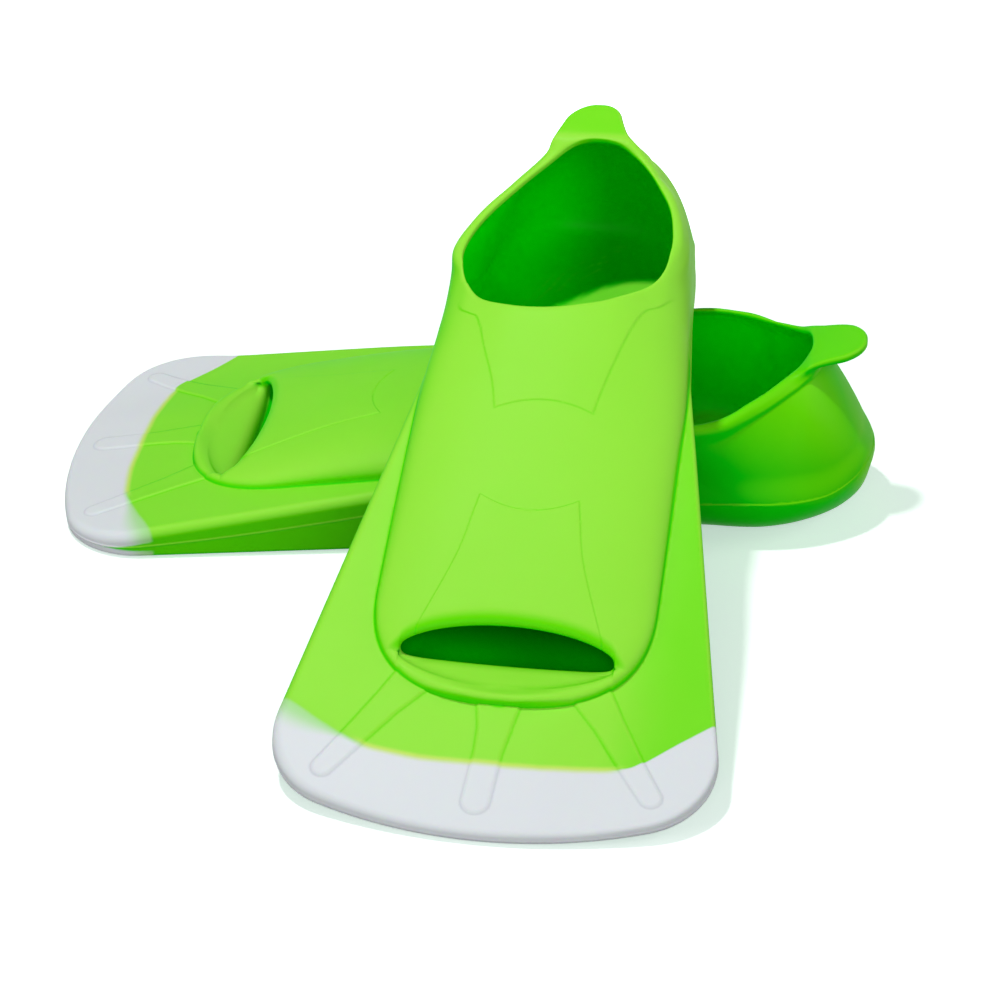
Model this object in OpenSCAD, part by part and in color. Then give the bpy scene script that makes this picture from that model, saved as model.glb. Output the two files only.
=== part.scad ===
// Pair of swim fins in silicone: the left fin lies flat and the right fin leans across its instep.
// Each fin is drawn along X: heel at 0, blade tip at fin_length, underside on Z = 0, inner side of the foot +Y.

/* [Blade] */
// Whole length of a fin, heel to tip
fin_length = 360; // [352:1:380]
// Width of the blade near its tip
blade_width = 173; // [162:1:186]
// Thickness at the tip edge
tip_thickness = 5; // [4.5:0.5:7]
// Deck height where the wings leave the foot pocket
wing_height = 36.5; // [33:0.5:39]
// Distance from heel to where the wings start
wing_start = 150; // [148:1:160]
// Radius of the front edge
tip_radius = 190; // [170:1:230]
// Radius of the two front corners
corner_radius = 34; // [27:1:40]
// Rounding of the blade's lower edge
edge_round = 1.8; // [1.4:0.1:2.1]
// Rounding of the deck's edge along the wings
deck_round = 4.5; // [3:0.5:5.5]
// Depth of the white tip at the middle
white_depth = 31; // [25:1:37]

/* [Foot pocket] */
// Blade left in front of the toe ring
blade_reach = 56; // [50:1:62]
// Outside width at the heel
heel_width = 88; // [84:1:94]
// Outside width at the ball of the foot
ball_width = 111; // [105:1:113]
// Height of the rim at the back
heel_height = 75.5; // [71:0.5:80]
// Height of the rim's lowest run
rim_low = 60; // [57:0.5:62]
// Height of the instep at the front of the foot opening
instep_height = 61.5; // [58:0.5:64]
// How far the rim is higher on the inner side and lower on the outer side
rim_tilt = 3; // [0:0.5:5]
// Back of the foot opening from the heel
opening_back = 27.5; // [25:0.5:32]
// Front of the foot opening from the heel
opening_front = 127; // [122:1:133]
// Width of the foot opening
opening_width = 83.5; // [77:0.5:87]
// Wall of the foot pocket
wall = 3.8; // [3.3:0.1:4.5]
// Sole under the foot
sole_thickness = 6; // [5.5:0.5:8]
// Height of the raised panels on the instep
panel_raise = 0.7; // [0.5:0.1:1]

/* [Toe opening] */
// Width of the toe opening
slot_width = 85; // [77:1:87]
// Length of the toe opening at the middle
slot_length = 26; // [22:1:28]
// Ring left in front of the toe opening
lip_width = 6.6; // [6:0.2:8]
// Floor of the toe ledge
ledge_height = 9.5; // [9:0.5:11]

/* [Pull tab] */
// Reach of the tab behind the rim
tab_length = 23; // [18:1:27]
// Width of the tab's end
tab_width = 24; // [21:1:28]
// Thickness of the tab
tab_thickness = 4.2; // [3.6:0.2:5]

/* [Ribs and tread] */
// Height of the ribs above the deck
rib_raise = 0.7; // [0.5:0.1:1.2]
// Width of the middle rib
rib_width = 10.6; // [8:0.2:13]
// Depth of the grooves under the sole
groove_depth = 1.2; // [0.8:0.1:1.8]
// Width of the grooves under the sole
groove_width = 3.6; // [3:0.2:4.5]

/* [How the pair lies] */
// Turn of the right fin away from square
turn = 2.3; // [0:0.1:8]
// Distance from the left heel to the right fin's middle line
cross_at = 126; // [123:1:133]
// How far the right heel reaches past the left fin's middle line
overhang = 75.5; // [68:0.5:84]
// Air left between the two fins where one leans on the other
rest_gap = 0.5; // [0.4:0.1:1]

/* [Hidden] */
green = [0.42, 0.85, 0.10];
white = [0.90, 0.92, 0.92];
// Heel to the front of the toe ring
foot_length = fin_length - blade_reach;
// The hand-chosen points below are for a foot pocket of 342 mm, and follow its length
k = foot_length / 342;

// A smooth curve through a few points
function piece(c, x, i = 0) = i >= len(c) - 2 || x < c[i + 1][0] ? i : piece(c, x, i + 1);
function pitch(c, i) =
  let (a = max(i - 1, 0), b = min(i + 1, len(c) - 1)) (c[b][1] - c[a][1]) / (c[b][0] - c[a][0]);
function curve(c, x) =
  let (
    i = piece(c, x),
    h = c[i + 1][0] - c[i][0],
    t = min(max((x - c[i][0]) / h, 0), 1)
  )
  c[i][1] * (1 + 2 * t) * pow(1 - t, 2) + c[i + 1][1] * t * t * (3 - 2 * t)
  + h * (pitch(c, i) * t * pow(1 - t, 2) - pitch(c, i + 1) * t * t * (1 - t));

// Deck of the blade
deck_fall = (wing_height - tip_thickness) / (fin_length - wing_start);
function deck(u) = tip_thickness + deck_fall * (fin_length - u);

// Outside of the foot pocket
heel_round = 60 * k;
toe_round = 57 * k;
toe_start = foot_length - toe_round;
slot_front = foot_length - lip_width;
slot_back = slot_front - slot_length;
slot_mid = slot_back + 0.46 * slot_length;
width_curve = [
  [0, heel_width / 2], [80 * k, heel_width * 0.28 + ball_width * 0.235], [150 * k, ball_width / 2 - 0.5],
  [200 * k, ball_width / 2], [foot_length, ball_width / 2]
];
top_curve = [
  [0, 0.41 * heel_height], [8 * k, 0.61 * heel_height], [19 * k, 0.84 * heel_height],
  [opening_back, 1.01 * heel_height], [40.5 * k, 1.055 * heel_height], [55 * k, 1.105 * heel_height],
  [75 * k, 1.105 * heel_height],
  [95 * k, 1.06 * heel_height], [112 * k, 1.14 * instep_height], [127 * k, 1.065 * instep_height],
  [opening_front + 4 * k, 1.012 * instep_height], [190 * k, 0.825 * instep_height],
  [250 * k, 0.65 * instep_height], [slot_back, deck(slot_back) + 8.5 * k + wall * 0.25],
  [slot_front - 8 * k, deck(slot_front) + 8 * k], [foot_length - 5 * k, deck(foot_length) + 4.2 * k],
  [foot_length, deck(foot_length) + 0.4]
];
base_curve = [
  [0, 26 * k], [2 * k, 13 * k], [5 * k, 6 * k], [11 * k, 1 * k], [20 * k, 0], [100 * k, 0],
  [wing_start - 5 * k, -30 * k], [foot_length, -30 * k]
];
lean_in_curve = [
  [0, 0.02], [36 * k, 0.06], [52 * k, 0.045], [74 * k, 0.01], [115 * k, 0.01], [160 * k, 0], [foot_length, 0]
];
flare_curve = [
  [0, 0], [52 * k, 0], [76 * k, 0.12], [98 * k, 0.28], [116 * k, 0.28], [132 * k, 0.16], [152 * k, 0],
  [foot_length, 0]
];
round_curve = [
  [0, 2.3], [40 * k, 2.1], [68 * k, 2.25], [95 * k, 2.4], [124 * k, 2.2], [190 * k, 2.1], [260 * k, 2.5],
  [foot_length, 2.5]
];
waist_curve = [
  [0, 28 * k], [40 * k, 23 * k], [65 * k, 27 * k], [95 * k, 40 * k], [wing_start, wing_height],
  [foot_length, deck(foot_length)]
];
function heel_shape(u) = u >= heel_round ? 1 : pow(1 - pow(1 - max(u, 0.01) / heel_round, 2.3), 1 / 2.3);
function toe_shape(u) =
  u <= toe_start ? 1 : pow(1 - pow(min((u - toe_start) / toe_round, 0.9998), 2.5), 0.4);
function half_width(u) = curve(width_curve, u) * heel_shape(u) * toe_shape(u);

// Inside of the foot pocket
ledge_back = slot_mid - 5 * k;
heel_wall = 1.15 * wall;
function room_width(u) = (curve(width_curve, u) - wall) * heel_shape(u - heel_wall) * toe_shape(u + wall);
function room_top(u) = u < 60 * k ? curve(top_curve, u - heel_wall) : curve(top_curve, u) - 1.05 * wall;
function room_base(u) = max(sole_thickness, curve(base_curve, u - heel_wall));

// A round-cornered section across the foot, half width a, from base b to top t, widest at height m
function power(x, e) = sign(x) * pow(abs(x), e);
function section_point(u, q, a, b, t, m, low) =
  let (
    s = sin(q),
    e = s < 0 ? low : curve(round_curve, u),
    w = max(0, m + (s < 0 ? m - b : t - m) * power(s, 2 / e)),
    aside = curve(lean_in_curve, u) - curve(flare_curve, u) * max(-cos(q), 0)
  )
  [u, a * power(cos(q), 2 / e) + aside * max(w - m, 0), w];
function section(u, a, b, t, m, low, n) =
  [for (i = [0 : n - 1]) section_point(u, 360 * (i + 0.5) / n, a, b, t, m, low)];
module loft(rings) {
  n = len(rings[0]);
  m = len(rings);
  polyhedron(
    points = [for (r = rings) each r],
    faces = concat(
      [[for (i = [0 : n - 1]) i]],
      [for (j = [0 : m - 2], i = [0 : n - 1]) each [
        [j * n + i, (j + 1) * n + i, (j + 1) * n + (i + 1) % n],
        [j * n + i, (j + 1) * n + (i + 1) % n, j * n + (i + 1) % n]
      ]],
      [[for (i = [n - 1 : -1 : 0]) (m - 1) * n + i]]
    )
  );
}
stations = concat(
  [for (x = [0.4, 2.5, 6, 11, 18, 27, 38, 50, 64, 80, 98, 118, 136, 152, 168, 190, 214, 240, 264]) x * k],
  [for (q = [0 : 15 : 75]) toe_start + toe_round * sin(q)],
  [foot_length - 0.5 * k]
);
module foot_body(more) {
  loft([
    for (u = stations)
      section(
        u, half_width(u) + more, curve(base_curve, u), curve(top_curve, u) + more,
        curve(waist_curve, u), 7, 32
      )
  ]);
}
module foot_room() {
  inner = concat([for (u = stations) if (u < ledge_back - 9 * k) u + heel_wall], [ledge_back]);
  loft([
    for (u = inner)
      section(
        u, room_width(u), room_base(u), max(room_top(u), room_base(u) + 5),
        max(curve(waist_curve, u) * 0.9, room_base(u) + 3), 5, 28
      )
  ]);
}

// The rim: a bent surface that dips along the ankle and is higher on the inner side
opening_mid = (opening_back + opening_front) / 2;
opening_half = (opening_front - opening_back) / 2;
rim_back = [
  [-0.5, 1.1], [-0.08, 1.03], [0.01, 0.92], [0.075, 0.71], [0.2, 0.45], [0.28, 0.33], [0.37, 0.16], [0.5, 0.03],
  [0.65, 0], [1, 0]
];
rim_front = [[0.65, 0], [0.8, 0.3], [0.93, 0.6], [1, 1]];
function rim(u) =
  let (c = (u - opening_back) / (opening_front - opening_back))
  rim_low + (heel_height - rim_low) * curve(rim_back, c)
  + (instep_height - rim_low + 1.7) * curve(rim_front, c) + 0.075 * pow(max(u - opening_front, 0), 2);
module rim_bar(u) {
  translate([u, 0, rim(u)]) rotate([atan(rim_tilt / (opening_width / 2)), 0, 0])
    translate([-0.01, -90, 0]) cube([0.02, 180, 70]);
}
module foot_opening() {
  steps = 12;
  reach = opening_front + 7;
  for (i = [0 : steps - 1])
    hull() {
      rim_bar(-6 + (reach + 6) * i / steps);
      rim_bar(-6 + (reach + 6) * (i + 1) / steps);
    }
  // Front edge of the hole: share of the half width, and distance behind the foremost point
  front = [
    [-1.1, 29], [-1.05, 24], [-1, 19], [-0.92, 14], [-0.83, 9], [-0.73, 6], [-0.59, 4], [-0.37, 2], [-0.18, 1.7],
    [0, 2.6], [0.19, 4.5], [0.38, 7.5], [0.61, 13.5], [0.75, 18], [0.87, 23], [0.94, 27], [1, 33]
  ];
  half = opening_width / 2;
  translate([0, 0, 0.65 * instep_height]) linear_extrude(80)
    polygon(concat(
      [for (p = front) [opening_front - p[1] * k / 0.889, half * p[0]]],
      [for (q = [97.5 : 7.5 : 262.5])
        [opening_mid + (opening_half - 6 * k) * power(cos(q), 0.92), half * power(sin(q), 0.92)]]
    ));
}

// The toe opening, with two bowed edges that meet at the corners
module toe_opening() {
  half = slot_width / 2;
  back = slot_mid - slot_back;
  front = slot_front - slot_mid;
  translate([0, 0, ledge_height]) linear_extrude(60)
    polygon(concat(
      [for (q = [90 : -9 : -90]) [slot_mid - back * power(cos(q), 1.2), half * sin(q)]],
      [for (q = [-81 : 9 : 81]) [slot_mid + front * power(cos(q), 1.2), half * sin(q)]]
    ));
}

// The line where upper and sole were moulded together
module below_parting() {
  front = sole_thickness + 2;
  line = [
    [-12 * k, 38 * k], [0, 33 * k], [8 * k, 25 * k], [20 * k, 20 * k], [40 * k, 18 * k], [110 * k, 18 * k],
    [150 * k, 13 * k], [200 * k, front]
  ];
  rotate([90, 0, 0]) linear_extrude(240, center = true)
    polygon(concat(
      [for (x = [-11 : 4 : 201]) [x * k, curve(line, x * k)]],
      [[foot_length + 6, front], [foot_length + 6, -5], [-11 * k, -5]]
    ));
}

// The two raised panels on the instep
module panels() {
  top_end = opening_front - 14 * k;
  low = slot_back + 3.5 * k;
  near = 243 * k;
  far = 194 * k;
  lower = [[low, 41 * k], [low - 0.6 * (low - near), 28 * k], [near + 6 * k, 23.5 * k], [near, 22.4 * k]];
  upper = [[far, 22.6 * k], [176 * k, 23 * k], [158 * k, 27 * k], [142 * k, 33 * k], [top_end, 42 * k]];
  translate([0, 0, 18]) linear_extrude(80)
    polygon(concat(
      lower, [for (v = [15 : -7.5 : -15]) [near + 7 * k * (1 - pow(v / 22.4, 2)), v * k]],
      [for (i = [3 : -1 : 0]) [lower[i].x, -lower[i].y]]
    ));
  translate([0, 0, 18]) linear_extrude(80)
    polygon(concat(
      upper, [for (i = [4 : -1 : 0]) [upper[i].x, -upper[i].y]],
      [for (v = [-15 : 7.5 : 15]) [far - 5 * k * (1 - pow(v / 22.6, 2)), v * k]]
    ));
}

// Outline of the blade: straight sides, two corner arcs and a front arc
root_at = 150 * k;
root_half = ball_width / 2 - 1;
side_rise = (blade_width / 2 - root_half) / (fin_length - 45 - root_at);
function side_line(u) = root_half + side_rise * (u - root_at);
tip_centre = fin_length - tip_radius;
side_long = sqrt(1 + side_rise * side_rise);
line_shift = root_half - side_rise * root_at - corner_radius * side_long;
quad_a = 1 + side_rise * side_rise;
quad_b = 2 * (side_rise * line_shift - tip_centre);
quad_c = tip_centre * tip_centre + line_shift * line_shift - pow(tip_radius - corner_radius, 2);
corner_u = (-quad_b + sqrt(quad_b * quad_b - 4 * quad_a * quad_c)) / (2 * quad_a);
corner_v = side_rise * corner_u + line_shift;
side_angle = 90 + atan(side_rise);
front_angle = atan2(corner_v, corner_u - tip_centre);
function outline_half() = concat(
  [for (x = [0 : 0.3 : 0.9]) let (u = root_at + x * (corner_u - root_at)) [[u, side_line(u)], side_angle]],
  [for (i = [0 : 7])
    let (q = side_angle + (front_angle - side_angle) * i / 7)
    [[corner_u, corner_v] + corner_radius * [cos(q), sin(q)], q]],
  [for (i = [1 : 5])
    let (q = front_angle * (1 - i / 5))
    [[tip_centre, 0] + tip_radius * [cos(q), sin(q)], q]]
);
function inset(p, less) = p[0] - less * [cos(p[1]), sin(p[1])];
function around(half) =
  let (n = len(half))
  concat([for (p = half) [p.x, -p.y, p.z]], [for (i = [n - 2 : -1 : 0]) half[i]]);
function deck_soft(u) = min(deck_round, 0.45 * deck(u));
function deck_ring(part) = around([
  for (p = outline_half())
    let (r = deck_soft(p[0].x), q = inset(p, r * (1 - cos(part * 90))), drop = r * (1 - sin(part * 90)))
    [q.x, q.y, deck(q.x) - drop]
]);
function floor_ring(less, lift) =
  around([for (p = outline_half()) let (q = inset(p, less)) [q.x, q.y, lift]]);
module blade_body() {
  loft([
    floor_ring(edge_round, 0), floor_ring(0.3 * edge_round, 0.3 * edge_round), floor_ring(0, edge_round),
    deck_ring(0), deck_ring(0.33), deck_ring(0.67), deck_ring(1)
  ]);
}

// Three ribs that run out from the toe ring
module rib_run(path) {
  for (i = [0 : len(path) - 2])
    hull()
      for (p = [path[i], path[i + 1]])
        translate([p[0], p[1]]) circle(r = p[2], $fn = 20);
}
module rib_plan() {
  half = rib_width / 2;
  last = fin_length - 9 - half;
  span = last - foot_length;
  side = blade_width / 2;
  rib_run([
    [foot_length - 4 * k, 0, half * 1.65], [foot_length + 0.2 * span, 0, half * 1.2],
    [foot_length + 0.45 * span, 0, half], [last, 0, half]
  ]);
  for (s = [-1, 1])
    rib_run([
      [foot_length - 14 * k, 0.385 * side * s, half * 1.5],
      [foot_length + 0.05 * span, 0.5 * side * s, half * 1.1],
      [foot_length + 0.4 * span, 0.61 * side * s, half * 0.9],
      [foot_length + 0.78 * span, 0.73 * side * s, half * 0.75]
    ]);
}
module ribs() {
  back = foot_length - 40;
  intersection() {
    linear_extrude(60) rib_plan();
    rotate([90, 0, 0]) linear_extrude(blade_width, center = true)
      polygon([
        [back, deck(back) - 2], [fin_length, deck(fin_length) - 2],
        [fin_length, deck(fin_length) + rib_raise], [back, deck(back) + rib_raise]
      ]);
  }
}
module blade_all() {
  blade_body();
  ribs();
}
module wing_end() {
  translate([0, -200, -5]) cube([wing_start, 400, 120]);
}

// Where the white tip starts
module tip_zone() {
  edge = fin_length - white_depth;
  half = [for (p = [[0, 0], [30, -1], [58, -5], [75, -14], [100, -28], [130, -46]]) p * k];
  translate([0, 0, -5]) linear_extrude(80)
    polygon(concat(
      [for (i = [5 : -1 : 1]) [edge + half[i][1], -half[i][0]]],
      [for (p = half) [edge + p[1], p[0]]],
      [[fin_length + 20, 130 * k], [fin_length + 20, -130 * k]]
    ));
}

// Grooves under the heel and the ball of the foot
module grooves() {
  for (u = concat([for (x = [34 : 13 : 112]) x * k], [for (x = [196 : 14 : 308]) x * k])) {
    reach = 0.62 * half_width(u);
    hull()
      for (s = [-1, 1])
        translate([u, s * reach, -1]) cylinder(d = groove_width, h = 1 + groove_depth, $fn = 10);
  }
}

// One fin's pieces
module foot_pocket() {
  difference() {
    union() {
      foot_body(0);
      intersection() {
        foot_body(panel_raise);
        panels();
      }
    }
    foot_room();
    foot_opening();
    toe_opening();
    below_parting();
  }
}
module sole() {
  difference() {
    intersection() {
      foot_body(0);
      below_parting();
    }
    foot_room();
    grooves();
  }
}
module blade() {
  difference() {
    blade_all();
    foot_body(0);
    wing_end();
    tip_zone();
  }
}
module blade_tip() {
  intersection() {
    blade_all();
    tip_zone();
  }
}
module heel_tab() {
  back = opening_back - tab_length;
  half = tab_width / 2;
  width = [
    [0, 0.38 * half], [0.06, 0.64 * half], [0.15, 0.8 * half], [0.3, 0.94 * half], [0.5, 1.05 * half],
    [0.75, 1.2 * half], [1, 1.42 * half], [1.25, 1.6 * half]
  ];
  rows = 9;
  lift = heel_height - tab_thickness / 2;
  aside = 0.01 * heel_height;
  difference() {
    for (i = [0 : rows - 1])
      hull()
        for (x = [i, i + 1])
          translate([back + tab_thickness / 2 + (tab_length + 4.5) * x / rows, aside, lift - x / rows])
            rotate([90, 0, 0])
              cylinder(d = tab_thickness, h = 2 * curve(width, 1.2 * x / rows), center = true, $fn = 14);
    foot_body(0);
    foot_room();
    translate([opening_back + 2 * k, -60, 0]) cube([80, 120, 120]);
  }
}

// The left fin lies flat, with the frame's origin under its middle
module place_left() {
  translate([fin_length / 2, 0, 0]) rotate([0, 0, 180]) mirror([0, 1, 0]) children();
}

// The right fin leans on the highest part of the left rim that it meets
function rest_spots() = [
  for (u = [opening_front - 24 : 2 : opening_front + 44], q = [30 : 6 : 150])
    let (
      p = section_point(
        u, q, half_width(u) + panel_raise, 0, curve(top_curve, u) + panel_raise, curve(waist_curve, u), 7
      ),
      c = (u - opening_mid) / opening_half,
      hole = c < 1 && abs(p.y) < opening_width / 2 * sqrt(1 - c * c) - 2
    )
    [fin_length / 2 - u, p.y, hole ? 0 : min(p.z, rim(u) + rim_tilt * p.y / (opening_width / 2))]
];
way = [-sin(turn), -cos(turn)];
right_heel = [fin_length / 2 - cross_at, overhang];
run_out = fin_length - edge_round;
function ahead(p) = (p.x - right_heel.x) * way.x + (p.y - right_heel.y) * way.y;
function lean_of(p, try) = atan2(p.z + rest_gap, run_out * cos(try) - ahead(p));
function lean_try(try) = max([for (p = rest_spots()) lean_of(p, try)]);
lean = lean_try(lean_try(lean_try(14)));
module place_right() {
  translate([right_heel.x, right_heel.y, run_out * sin(lean)])
    rotate([0, 0, -90 - turn]) rotate([0, lean, 0]) children();
}

module left_foot_pocket() { color(green) place_left() foot_pocket(); }
module left_sole() { color(green) place_left() sole(); }
module left_blade() { color(green) place_left() blade(); }
module left_blade_tip() { color(white) place_left() blade_tip(); }
module left_heel_tab() { color(green) place_left() heel_tab(); }
module right_foot_pocket() { color(green) place_right() foot_pocket(); }
module right_sole() { color(green) place_right() sole(); }
module right_blade() { color(green) place_right() blade(); }
module right_blade_tip() { color(white) place_right() blade_tip(); }
module right_heel_tab() { color(green) place_right() heel_tab(); }

left_foot_pocket();
left_sole();
left_blade();
left_blade_tip();
left_heel_tab();
right_foot_pocket();
right_sole();
right_blade();
right_blade_tip();
right_heel_tab();
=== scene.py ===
# Pair of lime silicone swim fins with pale tips: the left one lies flat, the right one leans on it.
import bpy
import math
import numpy as np
import openvdb
from mathutils import Matrix, Vector


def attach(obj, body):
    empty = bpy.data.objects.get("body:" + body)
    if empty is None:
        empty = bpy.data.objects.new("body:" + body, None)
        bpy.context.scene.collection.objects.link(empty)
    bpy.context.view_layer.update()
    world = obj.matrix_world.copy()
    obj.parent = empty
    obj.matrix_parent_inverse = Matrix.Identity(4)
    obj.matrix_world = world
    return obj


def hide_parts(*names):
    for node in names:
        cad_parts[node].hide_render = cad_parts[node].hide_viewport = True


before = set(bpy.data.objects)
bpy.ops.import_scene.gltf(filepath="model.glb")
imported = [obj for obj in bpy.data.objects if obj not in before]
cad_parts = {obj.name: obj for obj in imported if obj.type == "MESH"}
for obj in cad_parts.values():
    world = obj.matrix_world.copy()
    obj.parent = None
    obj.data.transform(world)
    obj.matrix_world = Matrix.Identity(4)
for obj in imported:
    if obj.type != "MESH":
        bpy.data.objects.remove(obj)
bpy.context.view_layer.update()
scene = bpy.context.scene


# Camera and light

cameraView = {
    "place": (0.17659, -1.22178, 0.71410),  # metres, in the frame of the fins
    "right": (0.99198, 0.12606, -0.00963),
    "up": (-0.05577, 0.50467, 0.86151),
    "lens": 113.84,
    "sensor": 36.0,
}


def makeCamera():
    data = bpy.data.cameras.new("studioCamera")
    data.lens = cameraView["lens"]
    data.sensor_width = cameraView["sensor"]
    data.clip_end = 50
    cam = bpy.data.objects.new("studioCamera", data)
    scene.collection.objects.link(cam)
    right = Vector(cameraView["right"]).normalized()
    up = Vector(cameraView["up"])
    up = (up - right * up.dot(right)).normalized()
    back = right.cross(up)
    turn = Matrix((right, up, back)).transposed()
    cam.matrix_world = Matrix.Translation(cameraView["place"]) @ turn.to_4x4()
    scene.camera = cam


studioLight = {
    "key": {"place": (-0.30, -0.01, 1.40), "aim": (0.0, 0.0, 0.0), "size": 0.1, "watts": 11.2},
    "fill": {"place": (0.35, -1.85, 0.75), "aim": (0.0, 0.0, 0.05), "size": 1.4, "watts": 14.5},
    "side": {"place": (-1.3, -1.2, 0.8), "aim": (0.0, 0.0, 0.05), "size": 1.0, "watts": 6},
    "far": {"place": (1.5, 0.1, 0.7), "aim": (0.1, 0.0, 0.05), "size": 1.0, "watts": 5.5},
    "world": 0.1,
}


def makeLamp(name, facts):
    data = bpy.data.lights.new(name, "AREA")
    data.shape = "DISK"
    data.size = facts["size"]
    data.energy = facts["watts"]
    lamp = bpy.data.objects.new(name, data)
    scene.collection.objects.link(lamp)
    away = Vector(facts["place"]) - Vector(facts["aim"])
    turn = away.to_track_quat("Z", "Y").to_matrix().to_4x4()
    lamp.matrix_world = Matrix.Translation(facts["place"]) @ turn


# Shader maths as Python expressions

class Socket:
    def __init__(self, tree, link):
        self.tree = tree
        self.link = link

    def math(self, operation, *others, clamp=False):
        settings = {"operation": operation, "use_clamp": clamp}
        return self.tree.node("ShaderNodeMath", settings, [self, *others])

    def __add__(self, other):
        return self.math("ADD", other)

    def __sub__(self, other):
        return self.math("SUBTRACT", other)

    def __rsub__(self, other):
        return (self * -1.0) + other

    def __mul__(self, other):
        return self.math("MULTIPLY", other)

    __radd__ = __add__
    __rmul__ = __mul__

    def clip(self):
        return self.math("ADD", 0.0, clamp=True)

    def most(self, other):
        return self.math("MAXIMUM", other)

    def step(self, low, high):  # smooth 0 to 1 as the value goes from low to high
        settings = {"interpolation_type": "SMOOTHSTEP"}
        given = {"Value": self, "From Min": low, "From Max": high}
        return self.tree.node("ShaderNodeMapRange", settings, given)


class Shader:
    def __init__(self, owner, main, output):  # owner: a material or the world
        owner.use_nodes = True
        self.owner = owner
        self.nodes = owner.node_tree.nodes
        self.links = owner.node_tree.links
        self.main = self.nodes[main]
        self.output = self.nodes[output]

    def plug(self, socket, given):
        if isinstance(given, Socket):
            self.links.new(given.link, socket)
        else:
            socket.default_value = given

    def node(self, kind, settings=None, given=None, out=0):
        made = self.nodes.new(kind)
        for key, setting in (settings or {}).items():
            setattr(made, key, setting)
        pairs = given.items() if isinstance(given, dict) else enumerate(given or [])
        for key, item in pairs:
            self.plug(made.inputs[key], item)
        return Socket(self, made.outputs[out])

    def attribute(self, name):
        return self.node("ShaderNodeAttribute", {"attribute_name": name}, out="Fac")

    def mix(self, mask, one, two):  # colours: one where the mask is 0, two where it is 1
        return self.node("ShaderNodeMix", {"data_type": "RGBA"}, {0: mask, 6: one, 7: two}, out=2)

    def noise(self, place, scale, detail=2.0, roughness=0.5):
        given = {"Vector": place, "Scale": scale, "Detail": detail, "Roughness": roughness}
        return self.node("ShaderNodeTexNoise", {"normalize": True}, given, out="Fac")

    def place(self):  # position on the fin, in metres
        return self.node("ShaderNodeAttribute", {"attribute_name": "finPlace"}, out="Vector")

    def bump(self, height, strength, distance):
        given = {"Strength": strength, "Distance": distance, "Height": height}
        return self.node("ShaderNodeBump", {}, given)

    def lightPath(self, kind):
        return self.node("ShaderNodeLightPath", out=kind)

    def mirrored(self):  # 1 for what shows in shiny or clear surfaces
        return self.lightPath("Is Glossy Ray").most(self.lightPath("Is Transmission Ray"))

    def mixShaders(self, mask, one, two):
        return self.node("ShaderNodeMixShader", {}, [mask, one, two])

    def set(self, name, given):
        self.plug(self.main.inputs[name], given)

    def finish(self, given):
        self.plug(self.output.inputs["Surface"], given)


def newSurface(name):
    return Shader(bpy.data.materials.new(name), "Principled BSDF", "Material Output")


# The fin's form, in millimetres along the fin: u from heel to tip, v towards the inner side, w up

footForm = {
    "length": 303.2,
    "heelRound": 53.3,
    "heelPower": 2.3,
    "heelShift": 0.9,
    "heelEnd": 0.7,
    "heelEdge": 2.0,
    "toeRound": 50.7,
    "toePower": 2.5,
    "toeEdge": 4.0,
    "wall": 3.8,
    "heelWall": 4.4,
    "sole": 6.0,
    "width": [(0, 44), (71, 50.7), (133, 55), (178, 55.5), (304, 55.5)],
    "top": [(0, 31), (7, 46), (17, 63), (27.5, 76.3), (36, 79.8), (49, 83.5), (67, 83.5), (84, 80),
            (100, 70.5), (113, 65.6), (130.6, 62.2), (169, 50.7), (222, 40), (271.4, 26.8),
            (288, 22.9), (299.6, 20.3), (304, 19.0)],
    "base": [(0, 23), (2, 13.5), (5, 7.4), (10, 3.2), (18, 1.0), (30, 0.2), (44, 0), (89, 0),
             (145.5, -26.7), (304, -26.7)],
    "waist": [(0, 24.9), (35.6, 20.4), (57.8, 24), (84.4, 35.6), (150, 36.5), (304, 13.4)],
    "round": [(0, 2.3), (28, 1.95), (46, 1.95), (64, 2.2), (84, 2.4), (110, 2.2), (169, 2.1),
              (231, 2.5), (304, 2.5)],
    "innerRound": [(45, 0), (60, 0.5), (75, 0.8), (95, 0.6), (115, 0)],
    "leanIn": [(0, 0.02), (32, 0.08), (46, 0.065), (66, 0.015), (102, 0.01), (142, 0), (304, 0)],
    "lowPower": [(0, 1.6), (8, 1.65), (15, 1.85), (28, 2.2), (45, 2.7), (70, 3.6), (100, 5),
                 (130, 7), (304, 7)],
    "slim": [(0, 3.0), (10, 3.0), (25, 2.8), (36, 2.5), (50, 2.0), (60, 1.7), (90, 1.9),
             (110, 1.7), (126, 1.2), (165, 0), (304, 0)],
    "flare": [(0, 0), (46, 0), (67.6, 0.11), (87, 0.25), (103, 0.25), (117, 0.15), (135, 0),
              (304, 0)],
}

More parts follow.
